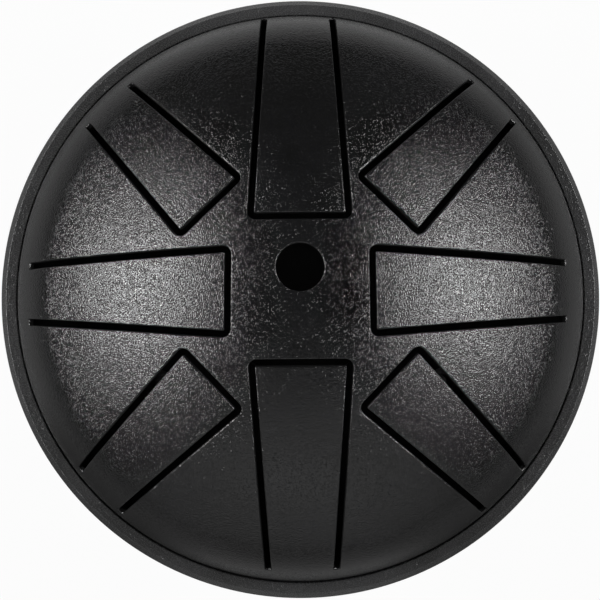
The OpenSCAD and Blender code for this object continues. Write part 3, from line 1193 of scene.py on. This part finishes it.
def foot_mesh():
    """One foot, from the screw hole over the hollow top and the waist to the sole and its recess."""
    sole_r = foot_sole_d / 2 / (1 + foot_taper * math.tan(foot_slope) * np.cos(foot_angles))
    top_r = foot_top_d / 2 + foot_taper * dish_gap(foot_top_d / 2)
    hole_r, recess_r = screw_hole_d / 2, foot_recess_d / 2
    lip = foot_edge_r / 2
    rings = [(r, dish_gap(r)) for r in np.linspace(hole_r, top_r - foot_edge_r, hollow_rings)]
    for s, c in quarter():
        r = top_r - foot_edge_r * (1 - s)
        rings.append((r, dish_gap(r) - foot_edge_r * (1 - c)))
    waist_top, waist_sole = rings[-1][1], sole(sole_r) + foot_edge_r
    for share in waist_shares:
        height = waist_top + share * (waist_sole - waist_top)
        rings.append((top_r + share * (sole_r - top_r), height))
    for s, c in quarter():
        r = sole_r - foot_edge_r * (1 - c)
        rings.append((r, sole(r) + foot_edge_r * (1 - s)))
    for s, c in quarter():
        r = recess_r + lip * (1 - s)
        rings.append((r, sole(r) + lip * (1 - c)))
    rings.append((recess_r, -foot_seat_t))
    rings.append((hole_r, -foot_seat_t))
    return stacked("foot", rings, foot_steps, True)


# %% [markdown]
# ## The screws, washers and nuts
# An M4 cap screw goes up through each foot and the bottom shell, into a washer and a nut. A smooth
# rod would do for a screw that stays hidden, but a part library is also used with its pieces taken
# apart, so the thread is a real one: on each ring the radius rises and falls once round, a little
# later than on the ring below, so that the crests climb 0.7 mm a turn.

# %% A thread
screw_d = 4 * MM
screw_pitch = 0.7 * MM
thread_h = 0.3 * MM
thread_steep = 1.6
thread_flat = 0.3
rings_a_turn = 8
screw_steps = 48


def thread(z, root_r, crest_r):
    """Radius of a thread at height z, on the way round. Its roots and crests are flat."""
    phase = (z / screw_pitch - angles_round(screw_steps) / TURN) % 1
    rise = np.clip(thread_steep * np.abs(2 * phase - 1) - thread_flat, 0, 1)
    return root_r + (crest_r - root_r) * rise


def thread_rings(low, high, root_r, crest_r):
    """The rings of a thread between two heights."""
    count = round((high - low) / screw_pitch * rings_a_turn) + 1
    return [(thread(z, root_r, crest_r), z) for z in np.linspace(low, high, count)]


# %% One screw
screw_l = 12 * MM
screw_neck_l = 1.2 * MM
screw_tip_l = 0.4 * MM
screw_tip_r = screw_d / 2 - 1.3 * thread_h
thread_start_l = 0.2 * MM
screw_head_d = 8 * MM
screw_head_h = 3 * MM
screw_head_edge_r = 0.45 * MM
screw_seat_edge = 0.1 * MM
socket_d = 2.9 * MM
socket_h = 1.6 * MM
socket_mouth_h = 0.2 * MM
socket_mouth_w = 0.18 * MM
socket_cone_h = 0.25 * MM
socket_cone_share = 0.3


def screw_mesh():
    """One screw, from the socket in its head up to its tip."""
    seat_z = -foot_seat_t
    head_low = seat_z - screw_head_h
    head_r, edge = screw_head_d / 2, screw_head_edge_r
    socket_r = hexagon(socket_d, screw_steps)
    rings = [
        (socket_cone_share * socket_r, head_low + socket_h + socket_cone_h),
        (socket_r, head_low + socket_h),
        (socket_r, head_low + socket_mouth_h),
        (socket_r + socket_mouth_w, head_low),
    ]
    rings += [(head_r - edge * (1 - s), head_low + edge * (1 - c)) for s, c in quarter()]
    rings += [(head_r, seat_z - screw_seat_edge), (head_r - screw_seat_edge, seat_z)]
    rings += [(screw_d / 2, seat_z), (screw_d / 2, seat_z + screw_neck_l)]
    low = seat_z + screw_neck_l + thread_start_l
    high = seat_z + screw_l - screw_tip_l
    rings += thread_rings(low, high, screw_d / 2 - thread_h, screw_d / 2)
    rings.append((screw_tip_r, seat_z + screw_l))
    return stacked("screw", rings, screw_steps, False)


# %% One washer
washer_d = 9 * MM
washer_t = 0.8 * MM
washer_edge_r = 0.15 * MM
washer_steps = 64
washer_edge_steps = 3
inner_r = base_dish.crown_r - sheet_t
washer_z = base_dish.crown_r - math.sqrt(inner_r**2 - (washer_d / 2)**2) + seat_clear


def washer_mesh():
    """One washer. Its rings go down the outer side and up the bore, round the four edges."""
    rings = []
    for side, r, face in ((1, washer_d / 2, 1), (-1, screw_hole_d / 2, -1)):
        for at_top in (face, -face):
            level = washer_z + (washer_t if at_top > 0 else 0)
            turns = quarter(washer_edge_steps)
            if at_top != face:
                turns = turns[::-1]
            for s, c in turns:
                height = level - at_top * washer_edge_r * (1 - c)
                rings.append((r - side * washer_edge_r * (1 - s), height))
    return stacked("washer", rings, washer_steps, True)


# %% One nut
nut_d = 8.08 * MM
nut_h = 3.2 * MM
nut_bevel = math.radians(30)
nut_face_share = 0.94
nut_mouth = 0.35 * MM
thread_clear = 0.05 * MM


def nut_mesh():
    """One nut, with bevelled faces and its thread in the bore."""
    low, high = washer_z + washer_t, washer_z + washer_t + nut_h
    side_r = hexagon(nut_d, screw_steps)
    face_r = nut_face_share * across_flats(nut_d) / 2
    fall = (side_r - face_r) * math.tan(nut_bevel)
    bore_r = screw_d / 2 + thread_clear
    rings = [
        (bore_r + nut_mouth, high),
        (face_r, high),
        (side_r, high - fall),
        (side_r, low + fall),
        (face_r, low),
        (bore_r + nut_mouth, low),
    ]
    rings += thread_rings(low + nut_mouth, high - nut_mouth, bore_r, bore_r + thread_h / 2)
    return stacked("nut", rings, screw_steps, True)


# %% [markdown]
# ## Three of each
# The dish is the same all the way round, so a foot's place is a turn about the drum's axis, a step
# out, a step up and a lean with the slope. A tree puts three points on a circle, stands the piece
# on each and makes the three real, because instances would be lost when the drum is exported.

# %% The standing tree
stand, given = geometry_tree("stand on the dish", {
    "Count": "Int",
    "First turn": "Float",
    "Distance out": "Float",
    "Height": "Float",
    "Lean": "Float",
})
ring_sockets = {"Vertices": given["Count"], "Radius": given["Distance out"]}
foot_ring = stand.node("GeometryNodeMeshCircle", {}, ring_sockets)
number = stand.node("GeometryNodeInputIndex")
turn = given["First turn"] - number * TURN / given["Count"]
foot_x, foot_y = given["Distance out"] * turn.cos(), given["Distance out"] * turn.sin()
foot_place = stand.joined(foot_x, foot_y, given["Height"])
foot_ring = stand.node("GeometryNodeSetPosition", {}, {0: foot_ring, "Position": foot_place})
foot_turn = stand.joined(0, 0 - given["Lean"], turn)
three = stand.node("GeometryNodeInstanceOnPoints", {}, {
    "Points": foot_ring,
    "Instance": given["Geometry"],
    "Rotation": foot_turn,
})
end_tree(stand, three, (given["Material"], True))


# %% Stand the pieces
def three_of(name, mesh, material):
    """Stands three copies of one mesh on the bottom dish, as one piece."""
    return new_piece(name, run_tree(stand, mesh, {
        "Count": foot_count,
        "First turn": foot_turns[0],
        "Distance out": foot_r,
        "Height": foot_z,
        "Lean": foot_slope,
        "Material": material,
    }))


feet = three_of("feet_rubber", foot_mesh(), rubber)
screws = three_of("foot_screws_zinc", screw_mesh(), zinc)
washers = three_of("foot_washers_zinc", washer_mesh(), zinc)
nuts = three_of("foot_nuts_zinc", nut_mesh(), zinc)
for piece in (feet, screws, washers, nuts):
    box = 1000 * np.array(piece.bound_box)
    print(piece.name, "from", box.min(axis=0).round(2), "to", box.max(axis=0).round(2), "mm")

# %% [markdown]
# ## What moves with what
# The shells, the ring and the feet are one body. A tongue isn't hinged: it springs at its root. A
# stiff tongue that turned about a line would open a crack there. Each tongue is a piece of its own
# that shares the points of its seam with the shell. Here it stays where it was pressed, and the
# solid that it stands for is hidden.

# %% Rides
for piece, nodes, slot_name in (
    (top_shell, ["top_shell"], "powder_coat"),
    (bottom_shell, ["bottom_shell"], "powder_coat"),
    (rim_ring, ["rim_ring"], "powder_coat"),
    (feet, ["foot_1", "foot_2", "foot_3"], "rubber"),
    (screws, ["foot_screw_1", "foot_screw_2", "foot_screw_3"], "zinc_steel"),
    (washers, ["foot_washer_1", "foot_washer_2", "foot_washer_3"], "zinc_steel"),
    (nuts, ["foot_nut_1", "foot_nut_2", "foot_nut_3"], "zinc_steel"),
):
    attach(piece, "shell")
    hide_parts(*nodes)
    print(piece.name, "rides on the shell and stands for", ", ".join(nodes))

for name, slot in slots.items():
    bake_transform(tongues[name])
    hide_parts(name)
print("tongues that bend at their roots:", len(tongues))

# %% [markdown]
# ## Studio light
# A glossy black coat shows its surroundings more than its own colour, so lighting it means placing
# what it mirrors. Two long low softboxes stand to the left and right, 44 degrees up. A dome mirrors
# each of them in one place, half way out on its side, and the coat's grain spreads that into a
# broad sparkling highlight. A wide faint lamp in front lifts the front tongue. A white room would
# turn the whole dome grey, so the room is nearly black overhead and dark grey near the horizon,
# and only the camera sees it white.

# %% The room
ceiling_grey = 0.015
wall_grey = 0.09

world = bpy.data.worlds.new("room")
bpy.context.scene.world = world
world.use_nodes = True
world.node_tree.nodes.clear()
room = Graph(world.node_tree)
_, _, gaze_z = room.split(room.node("ShaderNodeTexCoord").out("Generated"))
wall = 1 - ramp(gaze_z, low=0.05, high=0.5)
room_grey = ceiling_grey + wall_grey * wall


def seen_directly(graph):
    """1 for what the camera sees, also through glass, and 0 for light and reflections."""
    rays = graph.node("ShaderNodeLightPath")
    return rays.out("Is Camera Ray").math("MAXIMUM", rays.out("Is Transmission Ray"))


strength = room_grey + seen_directly(room) * (1 - room_grey)
background = room.node("ShaderNodeBackground", {}, {"Color": (1, 1, 1, 1), "Strength": strength})
room.node("ShaderNodeOutputWorld", {}, {"Surface": background})
print(f"the walls are {ceiling_grey + wall_grey:.3f} and the ceiling is {ceiling_grey:.3f} of white")


# %% The softboxes
def softbox(name, direction, distance, width, height, watts):
    """A rectangular lamp that faces the drum from a direction, its width level with the floor."""
    lamp = bpy.data.lights.new(name, "AREA")
    lamp.shape = "RECTANGLE"
    lamp.size = width
    lamp.size_y = height
    lamp.energy = watts
    away = Vector(direction).normalized()
    box = bpy.data.objects.new(name, lamp)
    bpy.context.scene.collection.objects.link(box)
    box.location = Vector((0, 0, seam_z)) + distance * away
    box.rotation_euler = away.to_track_quat("Z", "Y").to_euler()
    times_white = watts / (math.pi * width * height)
    print(f"{name}: {width} by {height} m, {times_white:.2f} times as bright as white paper")


box_rise = math.radians(44.3)
box_back = 0.09
box_out, box_up = math.cos(box_rise), math.sin(box_rise)
for name, side, watts in (("left softbox", -1, 4.3), ("right softbox", 1, 3.9)):
    direction = (side * box_out, box_back, box_up)
    softbox(name, direction, distance=0.8, width=0.55, height=0.12, watts=watts)
softbox("front fill", (0, -1, 0.85), distance=0.9, width=1.4, height=0.6, watts=1)

# %% [markdown]
# ## The floor
# The drum stands on plain paper. The camera sees it white, as it sees the room, but for a trace of
# the drum's shadow. The steep rim mirrors the paper close by, and how dark the paper is there
# decides whether the rim shows as a pale line or as a black one. So light and shade are painted
# into the paper's lit colour, which only reflections show. It is painted dark grey as painted shade
# and painted paler behind the drum as painted light. Two nearly black patches are painted in front
# of it, to the left and right, as painted shade, where a photographer would lay black cards. The
# paper under the drum is painted nearly black as painted shadow, and the camera's white is taken
# off there, so that no light comes up through the port and out of the slots.

# %% The paper
floor_half = 3
paper_white = 0.97
# The paper's lit colour, seen only in reflections, is painted shade grey, with painted light behind the
# drum
paper_painted_shade = 0.29
painted_light_behind = 0.24
# Painted shadow: the paper's colour under the drum, nearly black
painted_shadow_under = 0.02
# Painted shade: two nearly black patches on the paper in front of the drum, to the left and right, and
# how far out they lie
painted_card_shade = 0.22
painted_card_near = 0.15
painted_card_far = 0.25

floor_mesh = bpy.data.meshes.new("floor")
floor_corners = [(-1, -1, 0), (1, -1, 0), (1, 1, 0), (-1, 1, 0)]
floor_corners = [tuple(floor_half * v for v in corner) for corner in floor_corners]
floor_mesh.from_pydata(floor_corners, [], [(0, 1, 2, 3)])
floor = new_piece("floor", floor_mesh)
floor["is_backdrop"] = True

paper, paper_graph, place = new_finish("white paper")
paper_x, paper_y, _ = paper_graph.split(place)
from_axis = off_axis(paper_x, paper_y)
# 0 under the drum, where the paper is painted nearly black as painted shadow and the camera's white is
# taken off, and 1 clear of it
clear_of_painted_shadow = ramp(from_axis, 0.6 * drum_r, 0.95 * drum_r)
behind = ramp(paper_y / from_axis, low=0.7, high=1)
# Where the two patches of painted shade lie, in front to the left and right
aslant = paper_x.math("ABSOLUTE") * paper_y / (from_axis * from_axis)
on_painted_card = ramp(-2 * aslant, low=0.5, high=0.95) * (1 - ramp(from_axis, painted_card_near, painted_card_far))
# The lit paper's painted shade and painted light: grey, paler behind the drum, dark on the two patches
# in front
tone = paper_painted_shade + painted_light_behind * behind - painted_card_shade * on_painted_card
# The lit colour with its painted shade, painted light and the painted shadow under the drum
grey = blend_colour(paper_graph, painted_shadow_under + clear_of_painted_shadow * tone, (0, 0, 0), (1, 1, 1))
lit = paper_graph.node("ShaderNodeBsdfDiffuse", {}, {"Color": grey})
glow = paper_graph.node("ShaderNodeEmission", {}, {"Color": (1, 1, 1, 1), "Strength": 1})
white = paper_white * seen_directly(paper_graph) * clear_of_painted_shadow
shown = paper_graph.node("ShaderNodeMixShader", {}, {0: white, 1: lit, 2: glow})
paper_graph.node("ShaderNodeOutputMaterial", {}, {"Surface": shown})
floor_mesh.materials.append(paper)
print("white paper has", len(paper_graph.tree.nodes), "nodes")

# %% [markdown]
# ## The camera
# The drum is seen from almost straight above, tipped by a few degrees, so the camera stands high
# over the front with a long lens, and the drum fills the frame from edge to edge. The lens and the
# small shift were found by laying the drum's outline in the render over that in the photograph.

# %% The camera
view_rise = math.radians(87.36)
view_distance = 0.7
view_roll = math.radians(-0.45)
sensor = 36
frame_pixels = 600
focal_pixels = 2790.5
shift_x_pixels = -0.37
shift_y_pixels = -1.93
target_over_seam = 0.8 * MM
target = Vector((0, 0, seam_z + target_over_seam))

camera_data = bpy.data.cameras.new("camera")
camera_data.sensor_width = sensor
camera_data.lens = sensor * focal_pixels / frame_pixels
camera_data.shift_x = shift_x_pixels / frame_pixels
camera_data.shift_y = shift_y_pixels / frame_pixels
camera = bpy.data.objects.new("camera", camera_data)
bpy.context.scene.collection.objects.link(camera)
away = Vector((0, -math.cos(view_rise), math.sin(view_rise)))
camera.location = target + view_distance * away
turned = away.to_track_quat("Z", "Y") @ Quaternion((0, 0, 1), view_roll)
camera.rotation_euler = turned.to_euler()
bpy.context.scene.camera = camera
bpy.context.scene.view_settings.view_transform = "Standard"
print(f"a lens of {camera_data.lens:.0f} mm, {view_distance} m from the drum's seam")

# %% [markdown]
# ## The dressed drum's size
# The visual model stands in for the solids, so it has to fill the same box. Both boxes are
# measured, one right after loading and one now, and printed one after the other.

# %% Both boxes
dressed_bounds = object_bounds()
sizes = {
    "cad": [list(corner) for corner in cad_bounds],
    "visual": [list(corner) for corner in dressed_bounds],
}
for label, bounds in sizes.items():
    print(label, "box in mm:", [[round(1000 * v, 3) for v in corner] for corner in bounds])
